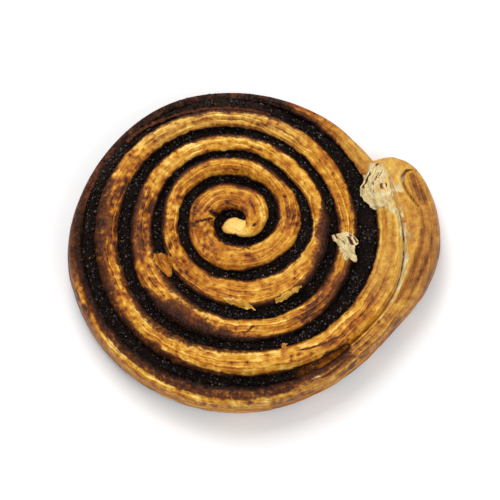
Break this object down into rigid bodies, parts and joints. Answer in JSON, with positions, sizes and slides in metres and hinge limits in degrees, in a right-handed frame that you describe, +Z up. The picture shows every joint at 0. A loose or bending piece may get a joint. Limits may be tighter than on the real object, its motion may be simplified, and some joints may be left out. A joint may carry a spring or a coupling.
{
  "type": "danish pastry",
  "caption": "Round baked danish pastry snail: a strip of laminated dough rolled into a flat spiral round a dark grainy filling, its end laid over the side.",
  "frame": {"origin": "centre of the bounding box at the height of the flat foot", "axes": "+Z up out of the spiral's top, +X towards the side where the strip's bare end lies, +Y across"},
  "size_m": [0.1424, 0.123, 0.0262],
  "materials": {
    "crust": "baked laminated dough, golden to deep brown, softly shining on the crowns and dry in the tears",
    "filling": "dark brown, almost black, moist and grainy"
  },
  "bodies": {
    "root": {"dough": "crust", "filling": "filling"}
  },
  "joints": []
}
